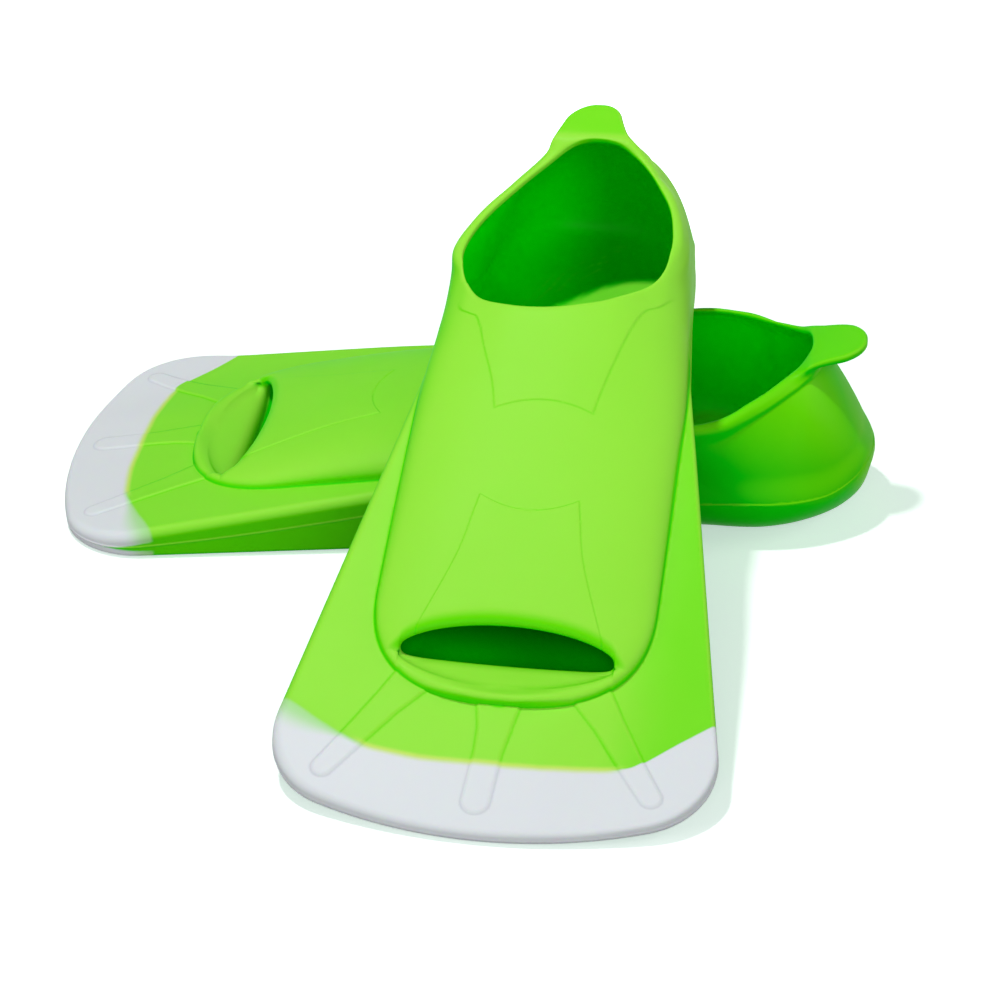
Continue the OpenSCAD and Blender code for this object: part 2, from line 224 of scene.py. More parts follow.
rimForm = {
    "height": [(-10, 77), (20, 76), (28.4, 74.3), (35, 71), (47, 67.1), (55, 65.1), (64, 62.5),
               (77, 60.5), (92, 60.4), (104, 62.6), (112, 64.5), (120, 67.5), (130, 73), (140, 80),
               (160, 112)],
    "slope": [(0, 0.05), (28, 0.05), (47, 0.082), (60, 0.085), (77, 0.055), (92, 0.033),
              (110, 0.02), (130, 0)],
    "innerRise": [(28, 0), (36, 0.015), (45, 0.035), (55, 0.075), (66, 0.12), (75, 0.14),
                  (88, 0.12), (100, 0.07), (112, 0.02), (120, 0)],
    "middle": (84.0, -2.0),
    # plan: degrees round the middle, reach to the inner edge
    "plan": [(-190, 56.2), (-180, 55.2), (-171, 51.8), (-160, 46.8), (-148, 43.6), (-134, 41.7),
             (-118, 42.2), (-99, 43.3), (-80, 44.8), (-59, 46.3), (-44, 46.9), (-30, 45.2),
             (-7.6, 41.7), (14.3, 39.7), (26.6, 39.8), (43, 40.3), (62, 43.0), (74, 43.8),
             (86, 43.4), (99.5, 42.8), (115, 43.7), (130, 45.1), (144, 49.0), (156, 52.8),
             (167, 55.4), (180, 55.2), (190, 51.8)],
    "floor": 51.0,
    "edge": 3.0,
    # collar: height of the collar's lower edge
    "collar": [(-10, 70), (20, 69.8), (28, 68.1), (35, 65.3), (47, 61.6), (55, 59.6), (64, 57.1),
               (77, 55.1), (92, 55.4), (104, 57), (126, 60)],
    "collarRaise": 1.2,
    "collarHeel": 0.25,  # share by which the collar is thicker at the heel
    "collarSoft": (1.8, 3.0),
    "lip": 2,
    "undercut": 0.9,
    "far": 400,
    "depth": 9,
    "steep": 0.93,
    "round": 1.0,
    "front": 170,
    "away": 50.0,
}

toeForm = {
    "back": 272.4,
    "front": 298.8,
    "mid": 283.4,
    "half": 42.5,
    "ledge": 13.5,
    "ledgeRise": 2.0,
    "ledgeBow": 1.5,  # how much higher the ledge is at its ends
    "edge": 7.0,
    "ledgeRound": 6.0,
    "bowPower": 0.6,
    "steep": 0.85,
}

panelForm = {
    "raise": 0.45,
    "edge": 0.4,
    "lower": [(275.0, 36.5), (242.5, 25.0), (221.5, 20.9), (216.0, 19.9)],  # u, half width
    "lowerArc": 6.2,
    "upperInner": [(172.5, 19.9), (159, 22.6), (140, 27.5), (130, 30.4), (122.8, 32.8),
                   (118.4, 35.2), (114, 40), (108, 44.7), (103, 50), (98, 58)],
    "upperOuter": [(174.5, 20.3), (160.6, 23.5), (144, 29.4), (134, 32.6), (128, 35.3),
                   (126, 38.1), (122.4, 42.6), (116, 46.3), (111, 52), (106, 60)],
    "upperArc": 4.4,
    "lowerPast": 3,
    "lowerSteep": 0.95,
    "upperFront": 173.5,
    "upperHalf": 20,
    "upperSteep": 0.8,
    "upperBack": (88, 108),  # inner, outer
    "above": (14, 20),
}

bladeForm = {
    "length": 360.0,
    "tipHeight": 5.0,
    "fall": 0.15,
    "innerFall": 0.063,
    "tipRadius": 190.0,
    "corner": 34.0,
    "rootAt": 133.0,
    "rootHalf": 54.5,
    "half": 86.5,
    "deckRound": 4.5,
    "lowRound": 1.8,
    "crease": 1.5,
    "border": [(-116, 288), (-86, 305), (-70, 314.5), (-58, 321), (-50, 324.8), (-44, 326.6),
               (-27, 328.8), (0, 329), (27, 328.2), (48, 325.3), (55.5, 323), (71.7, 309.5),
               (86, 299), (116, 280)],
    "levelAt": 248,
    "mostRise": 2.6,
    "widest": 45,  # before the end
    "innerSharp": 2.6,
    "rootIn": 6,
}

ribForm = {
    "raise": 0.7,
    "edge": 0.9,
    # middle: u, half width, v
    "middle": [(300.4, 8.75, 0), (312.8, 6.4, 0), (324, 5.3, -0.9), (345.7, 5.3, -2.3)],
    "side": [(291.5, 8.0, 33.3), (306, 5.8, 43.3), (320.7, 4.8, 52.8), (336.5, 4.0, 63.2)],
}

tabForm = {
    "back": 4.6,
    "reach": 30.0,
    "height": 73.6,
    "thick": 4.4,
    "aside": -0.9,
    "end": (10.0, 7.0),  # corner radius of its end, outer and inner
    "skew": 0.13,
    "half": [(0, 10.2), (3.5, 10.9), (7, 11.9), (12, 13.4), (17, 15.2), (24, 18.2), (34, 22)],
    "blend": 7.0,
    # how far the left fin's tab is bent up: in the middle, and for each millimetre inwards
    "bend": (3.6, 0.15),
    "rootRound": 3.0,
    "edge": 2.0,
    "cut": (26.5, 60),  # its front and low ends, u and w
}

treadForm = {
    "depth": 1.2,
    "width": 3.6,
    "share": 0.62,
    "heel": (30.2, 11.56, 7),  # first groove, pitch, count
    "ball": (174.2, 12.44, 9),
    "edge": 0.8,
}

meshForm = {
    "cell": 1.5,
    "margin": 4.0,
    "side": 6,
    "top": 84.0,
    "band": 30.0,
    "stride": 0.8,  # longest move of a point in one round
    "turns": (12, 24),  # degrees
    "snap": 0.04,
}


def curve(knots, x):  # a smooth curve through a few points
    xs = np.array([p[0] for p in knots], float)
    ys = np.array([p[1] for p in knots], float)
    pitch = np.empty_like(ys)
    pitch[1:-1] = (ys[2:] - ys[:-2]) / (xs[2:] - xs[:-2])
    pitch[0] = (ys[1] - ys[0]) / (xs[1] - xs[0])
    pitch[-1] = (ys[-1] - ys[-2]) / (xs[-1] - xs[-2])
    i = np.clip(np.searchsorted(xs, x, side="right") - 1, 0, len(xs) - 2)
    h = xs[i + 1] - xs[i]
    t = np.clip((x - xs[i]) / h, 0, 1)
    ends = ys[i] * (1 + 2 * t) * (1 - t) ** 2 + ys[i + 1] * t * t * (3 - 2 * t)
    return ends + h * (pitch[i] * t * (1 - t) ** 2 - pitch[i + 1] * t * t * (1 - t))


def softMin(a, b, r):
    h = np.maximum(r - np.abs(a - b), 0) / r
    return np.minimum(a, b) - h * h * r / 4


def softMax(a, b, r):
    return -softMin(-a, -b, r)


def roundEdge(x, y, r):  # two faces that meet in a round edge, from the distance past each
    x = x + r
    y = y + r
    return np.minimum(np.maximum(x, y), 0) + np.hypot(np.maximum(x, 0), np.maximum(y, 0)) - r


def ease(x, low, high):  # smooth 0 to 1 as x goes from low to high
    t = np.clip((x - low) / (high - low), 0, 1)
    return t * t * (3 - 2 * t)


def heelShape(u):
    power = footForm["heelPower"]
    share = np.clip(u, 0.02, footForm["heelRound"]) / footForm["heelRound"]
    return (1 - (1 - share) ** power) ** (1 / power)


def toeShape(u):
    t = np.clip((u - footForm["length"] + footForm["toeRound"]) / footForm["toeRound"], 0, 0.9995)
    return (1 - t ** footForm["toePower"]) ** (1 / footForm["toePower"])


def roundSection(v, h, half, rise, power):  # about the distance to a round-cornered section
    x = np.abs(v) / half + 1e-4
    y = np.abs(h) / rise + 1e-4
    xp = x ** power
    yp = y ** power
    f = (xp + yp) ** (1 / power)
    slope = f ** (1 - power) * np.sqrt((xp / x / half) ** 2 + (yp / y / rise) ** 2)
    return (f - 1) / np.maximum(slope, 1e-3)


def section(u, v, w, half, base, top, waist, lowPower):
    h = w - waist
    over = np.maximum(h, 0)
    side = ease(-v / half, 0.0, 0.75)
    v = v - (curve(footForm["leanIn"], u) - curve(footForm["flare"], u) * side) * over
    power = curve(footForm["round"], u) + curve(footForm["innerRound"], u) * ease(v / half, 0.0, 0.75)
    upper = roundSection(v, over, half, np.maximum(top - waist, 0.3), power)
    lower = roundSection(v, np.minimum(h, 0), half, np.maximum(waist - base, 0.3), lowPower)
    return np.where(h > 0, upper, lower)


def footBody(u, v, w):
    half = curve(footForm["width"], u) * heelShape(u + footForm["heelShift"]) * toeShape(u)
    body = section(u, v, w, half, curve(footForm["base"], u), curve(footForm["top"], u),
                   curve(footForm["waist"], u), curve(footForm["lowPower"], u))
    body = softMax(body, u - footForm["length"], footForm["toeEdge"])
    return softMax(body, -footForm["heelEnd"] - u, footForm["heelEdge"])


roomForm = {
    "thicker": 1.0,  # added to the wall behind the instep
    "bedRound": 6.0,
    "roof": 4.0,
    "toeRoof": 1.3,
    "leastHeight": 5,
    "leastWaist": 3,
    "waist": 0.9,
    "lowPower": 2.8,
    "heel": 1.4,
    "heelRound": 8.0,
    "toe": 4.4,
    "edge": 2.0,
    "skin": 1.2,  # faces nearer to the room than this belong to it
}


def footRoom(u, v, w):
    wall = footForm["wall"] + roomForm["thicker"] - roomForm["thicker"] * ease(u, 110, 150)
    behind = u - footForm["heelWall"]
    half = (curve(footForm["width"], u) - wall) * heelShape(behind) * toeShape(u + wall)
    base = softMax(footForm["sole"], curve(footForm["base"], behind), roomForm["bedRound"])
    roof = (roomForm["roof"] + roomForm["toeRoof"] * ease(u, 235, 268)) * ease(u, 66, 112)
    top = curve(footForm["top"], u - footForm["heelWall"] * (1 - ease(u, 40, 66))) - roof
    top = np.maximum(top, base + roomForm["leastHeight"])
    waist = np.maximum(curve(footForm["waist"], u) * roomForm["waist"], base + roomForm["leastWaist"])
    room = section(u, v, w, half, base, top, waist, roomForm["lowPower"])
    room = softMax(room, footForm["heelWall"] + roomForm["heel"] - u, roomForm["heelRound"])
    return softMax(room, u - toeForm["mid"] + roomForm["toe"], roomForm["edge"])


def rimHeight(u, v):
    inner = curve(rimForm["innerRise"], u) * np.maximum(v, 0)
    return curve(rimForm["height"], u) + curve(rimForm["slope"], u) * v + inner


def openingPlan(u, v):  # about the distance outside the opening's inner edge, seen from above
    along = u - rimForm["middle"][0]
    across = v - rimForm["middle"][1]
    return np.hypot(along, across) - curve(rimForm["plan"], np.degrees(np.arctan2(across, along)))


def roomCut(u, v, w):  # the room for the foot, narrowed to the inner edge just under the rim
    under = np.maximum(rimHeight(u, v) - w - rimForm["lip"], 0)
    neck = openingPlan(u, v) - rimForm["undercut"] * under - rimForm["far"] * ease(u, 98, 116)
    return softMax(footRoom(u, v, w), neck, roomForm["edge"])


def ledgeHeight(u, v):
    rise = toeForm["ledgeRise"] * ease(u, 281, 296)
    return toeForm["ledge"] + rise + toeForm["ledgeBow"] * (v / toeForm["half"]) ** 2


def toeSlot(u, v, w):
    s = np.clip(np.abs(v) / toeForm["half"], 0, 1)
    bow = (1 - s * s) ** toeForm["bowPower"]
    back = toeForm["mid"] - (toeForm["mid"] - toeForm["back"]) * bow
    front = toeForm["mid"] + (toeForm["front"] - toeForm["mid"]) * bow
    aside = np.maximum(np.abs(v) - toeForm["half"], 0)
    plan = np.maximum(back - u, u - front) * toeForm["steep"] + aside
    return softMax(plan, ledgeHeight(u, v) - w, toeForm["ledgeRound"])


partingForm = {
    "line": [(-10, 32), (0, 28.9), (7, 25.2), (17.2, 21.9), (31, 21.3), (64, 21.5), (98, 19),
             (133, 12.5), (178, 8), (304, 8)],
    "step": 0.32,
    "flash": 0.3,
    "share": [(133, 0.7), (200, 0.66), (310, 0.42), (360, 0.45)],  # of the blade's height
    "flashWidth": 0.45,
}


def partingHeight(u):
    return curve(partingForm["line"], u)


def bladeParting(u, v):
    return curve(partingForm["share"], u) * deckTop(u, v)


def panelEdges(u, v, w):  # distance inside the raised panels, past their edges below 0
    side = np.abs(v)
    lower = panelForm["lower"][::-1]
    lowHalf = curve(lower, u)
    lowFront = lower[-1][0] + panelForm["lowerPast"]
    lowBack = lower[0][0] + panelForm["lowerArc"] * (1 - np.minimum(side / lower[0][1], 1.2) ** 2)
    low = np.minimum((lowHalf - side) * panelForm["lowerSteep"], np.minimum(u - lowBack, lowFront - u))
    inner = v > 0
    innerHalf = curve(panelForm["upperInner"][::-1], u)
    outerHalf = curve(panelForm["upperOuter"][::-1], u)
    topHalf = np.where(inner, innerHalf, outerHalf)
    topArc = panelForm["upperArc"] * (1 - np.minimum(side / panelForm["upperHalf"], 1.2) ** 2)
    topFront = panelForm["upperFront"] - topArc
    topBack = np.where(inner, *panelForm["upperBack"])
    topSide = (topHalf - side) * panelForm["upperSteep"]
    high = np.minimum(topSide, np.minimum(topFront - u, u - topBack))
    above = ease(w, *panelForm["above"])
    return np.maximum(low, high) * above - 3 * (1 - above)


def panelShare(u, v):  # the panels run out into the sides by the opening
    return 1 - ease(np.abs(v), 41, 47) * (1 - ease(u, 118, 126))


def raisedBy(u, v, w):  # how far the collar, the panels and the lower half stand proud of the foot
    onPanel = ease(panelEdges(u, v, w), -panelForm["edge"], panelForm["edge"])
    panel = panelForm["raise"] * panelShare(u, v) * onPanel
    collar = w - curve(rimForm["collar"], u) - curve(rimForm["slope"], u) * v
    thicker = (1 + rimForm["collarHeel"] * (1 - ease(u, 16, 48))) * (1 - ease(u, 84, 112))
    heelSoft, ankleSoft = rimForm["collarSoft"]
    soft = heelSoft + ankleSoft * ease(u, 45, 85)
    band = rimForm["collarRaise"] * thicker * ease(collar, -soft, 0.8 * soft)
    over = w - partingHeight(u)
    lower = partingForm["step"] * (1 - ease(over, -0.3, 0.3)) * (1 - ease(u, 120, 150))
    aside = 1 - ease(u, 90, 110) * (1 - ease(np.abs(v), 20, 38))
    low = ease(v, 5, 25) * ease(u, 28, 45)
    slim = curve(footForm["slim"], u) * np.maximum(ease(over, -3, 12), low) * aside
    return softMax(panel, band, 0.3) + lower - slim


def deckHeight(u):
    return bladeForm["tipHeight"] + bladeForm["fall"] * (bladeForm["length"] - u)


def deckTop(u, v):  # the deck falls faster along its inner edge
    inner = bladeForm["innerFall"] * (bladeForm["levelAt"] - u) * ease(v, 15, 80) * ease(u, 150, 200)
    lowest = 0.5 * (bladeForm["tipHeight"] - deckHeight(u))
    change = softMax(inner, np.minimum(lowest, 0), 2.0)
    return deckHeight(u) + softMin(change, bladeForm["mostRise"], 1.5)


def bladePlan(u, v):
    side = np.abs(v)
    length, tipR, r = bladeForm["length"], bladeForm["tipRadius"], bladeForm["corner"]
    run = length - bladeForm["widest"] - bladeForm["rootAt"]
    rise = (bladeForm["half"] - bladeForm["rootHalf"]) / run
    lengthen = math.hypot(1, rise)
    tipAt = length - tipR
    shift = bladeForm["rootHalf"] - rise * bladeForm["rootAt"] - r * lengthen
    a = 1 + rise * rise
    b = 2 * (rise * shift - tipAt)
    c = tipAt * tipAt + shift * shift - (tipR - r) ** 2
    cornerU = (-b + math.sqrt(b * b - 4 * a * c)) / (2 * a)
    cornerV = rise * cornerU + shift
    straight = (side - bladeForm["rootHalf"] - rise * (u - bladeForm["rootAt"])) / lengthen
    arc = np.hypot(u - tipAt, side) - tipR
    turn = np.hypot(u - cornerU, side - cornerV) - r
    pastSide = (u - cornerU) + rise * (side - cornerV) > 0
    frontTurn = math.atan2(cornerV, cornerU - tipAt)
    pastFront = np.arctan2(side - cornerV, u - cornerU) > frontTurn
    return np.where(pastSide & pastFront, turn, np.where(pastSide, arc, straight))


def ribDepth(u, v):  # distance inside the ribs' outlines
    def run(path, along):
        best = np.full(np.broadcast(u, along).shape, -99.0)
        for (u0, r0, v0), (u1, r1, v1) in zip(path, path[1:]):
            span = (u1 - u0) ** 2 + (v1 - v0) ** 2
            t = np.clip(((u - u0) * (u1 - u0) + (along - v0) * (v1 - v0)) / span, 0, 1)
            gap = np.hypot(u - u0 - t * (u1 - u0), along - v0 - t * (v1 - v0))
            best = np.maximum(best, r0 + t * (r1 - r0) - gap)
        return best

    return np.maximum(run(ribForm["middle"], v), run(ribForm["side"], np.abs(v)))


def blade(u, v, w):
    plan = bladePlan(u, v)
    deck = deckTop(u, v)
    soft = np.minimum(bladeForm["deckRound"] - bladeForm["innerSharp"] * ease(v, 20, 60), 0.45 * deck)
    proud = ribForm["raise"] * ease(ribDepth(u, v), -ribForm["edge"], ribForm["edge"])
    over = (w - deck - proud) / math.hypot(1, bladeForm["fall"])
    top = roundEdge(plan, over, soft)
    under = roundEdge(plan, -w, bladeForm["lowRound"])
    atSeam = np.exp(-((w - bladeParting(u, v)) / partingForm["flashWidth"]) ** 2)
    flash = partingForm["flash"] * atSeam * ease(plan, -4, -1)
    return np.maximum(np.maximum(top, under) - flash, bladeForm["rootAt"] - bladeForm["rootIn"] - u)


def pullTab(u, v, w):
    outer = tabForm["aside"] - v
    along = u - tabForm["back"] - tabForm["skew"] * np.maximum(outer, 0)
    half = curve(tabForm["half"], along)
    side = np.abs(outer)
    r = np.where(outer > 0, *tabForm["end"])
    plan = roundEdge(side - half, -along, r)
    plan = softMax(plan, along - tabForm["reach"], tabForm["rootRound"])
    slab = np.abs(w - tabForm["height"]) - tabForm["thick"] / 2
    return roundEdge(plan, slab, tabForm["edge"])


def treads(u, v, w):  # grooves under the heel and the ball of the foot
    cut = np.full(np.broadcast(u, v).shape, 9.0)
    for start, pitch, count in (treadForm["heel"], treadForm["ball"]):
        for i in range(count):
            at = start + pitch * i
            spot = np.array([at])
            soleHalf = float((curve(footForm["width"], spot) * toeShape(spot))[0])
            reach = treadForm["share"] * soleHalf
            gap = np.hypot(u - at, np.maximum(np.abs(v) - reach, 0)) - treadForm["width"] / 2
            cut = np.minimum(cut, gap)
    return softMax(cut, w - treadForm["depth"], treadForm["edge"])


def openingCut(u, v, w):  # below 0 in the space above the rim and inside its edge
    rim = rimHeight(u, v)
    inside = np.maximum(openingPlan(u, v), np.minimum(rim - rimForm["depth"], rimForm["floor"]) - w)
    cut = softMin((rim - w) * rimForm["steep"], inside, rimForm["round"])
    return np.where(u < rimForm["front"], cut, rimForm["away"])


def outerFoot(u, v, w):
    return footBody(u, v, w) - raisedBy(u, v, w)


def outerForm(u, v, w):
    return softMin(outerFoot(u, v, w), blade(u, v, w), bladeForm["crease"])


def finField(u, v, w):  # below 0 inside the silicone
    form = softMin(outerForm(u, v, w), pullTab(u, v, w), tabForm["blend"])
    form = softMax(form, -openingCut(u, v, w), rimForm["edge"])
    form = softMax(form, -roomCut(u, v, w), rimForm["edge"])
    form = softMax(form, -toeSlot(u, v, w), toeForm["edge"])
    return np.maximum(softMax(form, -treads(u, v, w), treadForm["edge"]), -w)


def gradient(points, step=0.3):
    grad = np.empty_like(points)
    for axis in range(3):
        ahead = points.copy()
        behind = points.copy()
        ahead[:, axis] += step
        behind[:, axis] -= step
        grad[:, axis] = (finField(*ahead.T) - finField(*behind.T)) / (2 * step)
    return grad


def settle(points, rounds):  # moves points onto the surface
    for _ in range(rounds):
        value = finField(*points.T)
        grad = gradient(points)
        size = np.maximum((grad ** 2).sum(1), 0.05)
        move = -(value / size)[:, None] * grad
        reach = np.linalg.norm(move, axis=1, keepdims=True)
        points = points + move * np.minimum(1, meshForm["stride"] / np.maximum(reach, 1e-6))
    return points


def tipReach(u, v):
    return u - curve(bladeForm["border"], v)


def unitNormals(points):
    grad = gradient(points, 0.2)
    return grad / np.maximum(np.linalg.norm(grad, axis=1, keepdims=True), 1e-6)


def baseMesh():
    cell = meshForm["cell"]
    margin = meshForm["margin"]
    low = np.array([-margin, -bladeForm["half"] - meshForm["side"] - margin, -margin])
    sideEnd = bladeForm["half"] + meshForm["side"] + margin
    high = np.array([bladeForm["length"] + margin, sideEnd, meshForm["top"]])
    count = np.ceil((high - low) / cell).astype(int)
    u = (low[0] + cell * np.arange(count[0]))[:, None, None]
    v = (low[1] + cell * np.arange(count[1]))[None, :, None]
    w = (low[2] + cell * np.arange(count[2]))[None, None, :]
    grid = openvdb.FloatGrid()
    band = meshForm["band"]
    grid.background = band
    grid.copyFromArray(np.clip(finField(u, v, w), -band, band).astype(np.float32))
    points, quads = grid.convertToQuads(0.0)
    points = low + cell * np.asarray(points, float)
    return settle(points, 4), np.asarray(quads, int)


def onSeam(u, v, w):
    return (np.abs(w - bladeParting(u, v)) < 1.3) & (bladePlan(u, v) > -2) & (u > 150)


def splitCurved(points, quads, middles, turn, widen):  # halves the quads that turn too far
    normals = unitNormals(points)[quads]
    pairs = ((0, 1), (1, 2), (2, 3), (3, 0), (0, 2), (1, 3))
    flat = np.min([(normals[:, i] * normals[:, j]).sum(1) for i, j in pairs], axis=0)
    u, v, w = points[quads].mean(1).T
    marked = (flat < math.cos(math.radians(turn))) | onSeam(u, v, w)
    if widen:
        near = np.zeros(len(points), bool)
        near[quads[marked]] = True
        marked = near[quads].any(1)
    split = quads[marked]
    edges = np.sort(np.stack([split, np.roll(split, -1, 1)], 2), 2).reshape(-1, 2)
    edges, place = np.unique(edges, axis=0, return_inverse=True)
    first = len(points)
    for i, (a, b) in enumerate(edges.tolist()):
        middles[a, b] = first + i
    mids = first + place.reshape(-1, 4)
    centres = first + len(edges) + np.arange(len(split))
    fresh = settle(np.concatenate([points[edges].mean(1), points[split].mean(1)]), 3)
    quarters = [np.stack([split[:, k], mids[:, k], centres, mids[:, k - 1]], 1) for k in range(4)]
    return np.concatenate([points, fresh]), np.concatenate([quads[~marked], *quarters])


def joinSeams(quads, middles):  # gives each face the points that finer neighbours have on its edges
    def between(a, b):
        middle = middles.get((a, b) if a < b else (b, a))
        if middle is None:
            return []
        return between(a, middle) + [middle] + between(middle, b)

    faces = []
    for quad in quads.tolist():
        face = []
        for a, b in zip(quad, quad[1:] + quad[:1]):
            face += [a] + between(a, b)
        faces.append(face)
    return faces


def flatten(faces):
    sizes = np.array([len(face) for face in faces])
    corners = np.fromiter((i for face in faces for i in face), int, sizes.sum())
    return corners, np.cumsum(sizes) - sizes, sizes


def cutFaces(points, faces, line):  # splits the faces that a line crosses, along the line
    value = line(*points.T)
    snap = meshForm["snap"]
    value = np.where(np.abs(value) < snap, snap, value)
    corners, starts, sizes = flatten(faces)
    above = np.add.reduceat((value[corners] > 0).astype(int), starts)
    extra = []
    made = {}
    pieces = []
    for i in np.nonzero((above > 0) & (above < sizes))[0]:
        halves = ([], [])
        face = faces[i]
        crossings = 0
        for a, b in zip(face, face[1:] + face[:1]):
            halves[int(value[a] > 0)].append(a)
            if (value[a] > 0) == (value[b] > 0):
                continue
            crossings += 1
            key = (min(a, b), max(a, b))
            if key not in made:
                share = value[a] / (value[a] - value[b])
                made[key] = len(points) + len(extra)
                extra.append(points[a] + share * (points[b] - points[a]))
            halves[0].append(made[key])
            halves[1].append(made[key])
        if crossings == 2:
            faces[i] = halves[0]
            pieces.append(halves[1])
    return np.concatenate([points, np.array(extra).reshape(-1, 3)]), faces + pieces


def roomParting(u, v, w):  # above 0 on the pocket, below 0 on the sole
    outside = np.maximum(w - partingHeight(u), outerFoot(u, v, w) - blade(u, v, w))
    return np.where(roomCut(u, v, w) < roomForm["skin"], w - partingHeight(u), outside)


def bladeLine(u, v, w):  # above 0 on the blade
    return np.where(roomCut(u, v, w) < roomForm["skin"], -3.0, outerFoot(u, v, w) - blade(u, v, w))


def tabLine(u, v, w):  # below 0 on the pull tab
    front, low = tabForm["cut"]
    return np.maximum(np.maximum(pullTab(u, v, w) - outerForm(u, v, w), u - front), low - w)


def tipLine(u, v, w):
    return tipReach(u, v)


def makeFinMesh():
    points, quads = baseMesh()
    middles = {}
    coarse, fine = meshForm["turns"]
    points, quads = splitCurved(points, quads, middles, coarse, True)
    points, quads = splitCurved(points, quads, middles, fine, False)
    faces = joinSeams(quads, middles)
    for line in (bladeLine, roomParting, tabLine, tipLine):
        points, faces = cutFaces(points, faces, line)
    return points, faces


def sortPieces(points, faces):  # which piece each face belongs to
    corners, starts, sizes = flatten(faces)
    u, v, w = (np.add.reduceat(points[corners], starts) / sizes[:, None]).T
    piece = np.full(len(faces), "foot_pocket", dtype=object)
    piece[roomParting(u, v, w) < 0] = "sole"
    onBlade = bladeLine(u, v, w) > 0
    piece[onBlade] = "blade"
    piece[onBlade & (tipReach(u, v) > 0)] = "blade_tip"
    piece[tabLine(u, v, w) < 0] = "heel_tab"
    return piece


# How each fin lies

fins = {
    # shade, wing and tab: shares of painted shade along u, on the deck's inner wing and on the tab;
    # across: painted light on faces turned to the right
    "left": {
        "body": "left_fin",
        "shade": [(0, 0.45), (20, 0.5), (45, 0.6), (100, 0.5), (180, 0.12), (360, 0.1)],  # painted shade along u
        "wingShade": 0.0,
        "tab": 0.0,
        "across": 0.4,
    },
    "right": {
        "body": "right_fin",
        "shade": [(0, 0), (360, 0)],
        "wingShade": 0.45,
        "tab": 0.4,
        "across": 0.7,
        "turn": 2.3,
        "lean": 14.4616,
        "heel": (54.0, 75.5),
        "runOut": 358.2,
    },
}


def finTransform(side):
    if side == "left":
        mirror = np.array([[-1, 0, 0], [0, 1, 0], [0, 0, 1]], float)
        return mirror, np.array([bladeForm["length"] / 2, 0, 0])
    facts = fins["right"]
    turn = math.radians(facts["turn"])
    lean = math.radians(facts["lean"])
    along = [-math.sin(turn) * math.cos(lean), -math.cos(turn) * math.cos(lean), -math.sin(lean)]
    across = [math.cos(turn), -math.sin(turn), 0]
    over = [-math.sin(turn) * math.sin(lean), -math.cos(turn) * math.sin(lean), math.cos(lean)]
    lift = facts["runOut"] * math.sin(lean)
    return np.array([along, across, over]).T, np.array([*facts["heel"], lift])


def bendTab(points):
    u, v, w = points.T
    middle, tilt = tabForm["bend"]
    bent = points.copy()
    bent[:, 2] += (middle + tilt * v) * ease(34 - u, 0, 24) * ease(w, 60, 69)
    return bent


def keyReach(points, turn, shift):  # 1 where the key lamp shines on points of a fin
    lamp = (1000 * np.array(studioLight["key"]["place"]) - shift) @ turn
    away = lamp - points
    away /= np.linalg.norm(away, axis=1, keepdims=True)
    clear = np.full(len(points), 9.0)
    for reach in range(6, 130, 4):
        clear = np.minimum(clear, finField(*(points + away * reach).T))
    return ease(clear, -0.6, 2.4)


def makePiece(name, points, normals, faces, facts, turn, shift):
    corners, starts, sizes = flatten(faces)
    used, corners = np.unique(corners, return_inverse=True)
    if np.linalg.det(turn) < 0:
        rows = [corners[a:a + n][::-1].tolist() for a, n in zip(starts, sizes)]
    else:
        rows = [corners[a:a + n].tolist() for a, n in zip(starts, sizes)]
    local = points[used]
    world = (local @ turn.T + shift) / 1000
    mesh = bpy.data.meshes.new(name)
    mesh.from_pydata(world.tolist(), [], rows)
    for key, values in facts.items():
        layer = mesh.attributes.new(key, "FLOAT", "POINT")
        layer.data.foreach_set("value", values[used].astype(np.float32))
    places = mesh.attributes.new("finPlace", "FLOAT_VECTOR", "POINT")
    places.data.foreach_set("vector", (local / 1000).astype(np.float32).ravel())
    mesh.polygons.foreach_set("use_smooth", np.ones(len(rows), bool))
    mesh.normals_split_custom_set_from_vertices((normals[used] @ turn.T).tolist())
    piece = bpy.data.objects.new(name, mesh)
    scene.collection.objects.link(piece)
    return piece


# Materials

limeFinish = {
    "lit": (0.30, 0.80, 0.05, 1),
    # side and the deepest green are shaded copies of the lit lime: painted shade for places the lamps
    # reach less
    "side": (0.14, 0.75, 0.0, 1),
    "paintedShade": (0.0, 0.70, 0.0, 1),
    # inner: painted shade on the room's walls; innerGlow: a painted glow, lighter where light would
    # come through the wall
    "inner": (0.0, 0.50, 0.0, 1),
    "innerGlow": (0.0, 0.97, 0.0, 1),
    # the darkest painted shade, deep in the toe room
    "toeRoomShade": (0.0, 0.17, 0.0, 1),
    "roughness": 0.46,
    "grainScale": 2600,
    "grainDepth": 0.00006,
    "through": 0.15,  # share of the light that goes into the silicone
    "throughRadius": (0.3, 1.0, 0.1),
    "throughScale": 0.006,
    "toneScale": 30,
    "toneShare": 0.1,
    "edgeShadeShare": 0.35,
    "seamHighlightShare": 0.3,
    "coarse": 0.32,
    "grainShares": (0.6, 0.4),
    "smoother": 0.7,
    "bump": 0.5,
    "cloudScale": 55,
    "cloudShare": 0.08,
    "polish": 0.07,
    "ior": 1.42,
    "shine": 0.07,
}
paleFinish = {
    "colour": (0.73, 0.77, 0.80, 1),
    "fringe": (0.56, 0.81, 0.13, 1),
    "mint": (0.40, 0.76, 0.30, 1),
    # line: painted shade in grey along the ribs' edges on the pale tip
    "line": (0.52, 0.54, 0.60, 1),
    "edgeShadeShare": 0.45,
    "wanderScale": 60,
    "wander": 1.2,
    "fringeAt": (-2.4, -0.3),  # millimetres past the border
    "mintAt": (-0.6, 1.6),
    "paleAt": (-0.8, 2.2),
    "crispAt": (-0.5, 0.6),
    "blurAt": (0.1, 1.0),
}


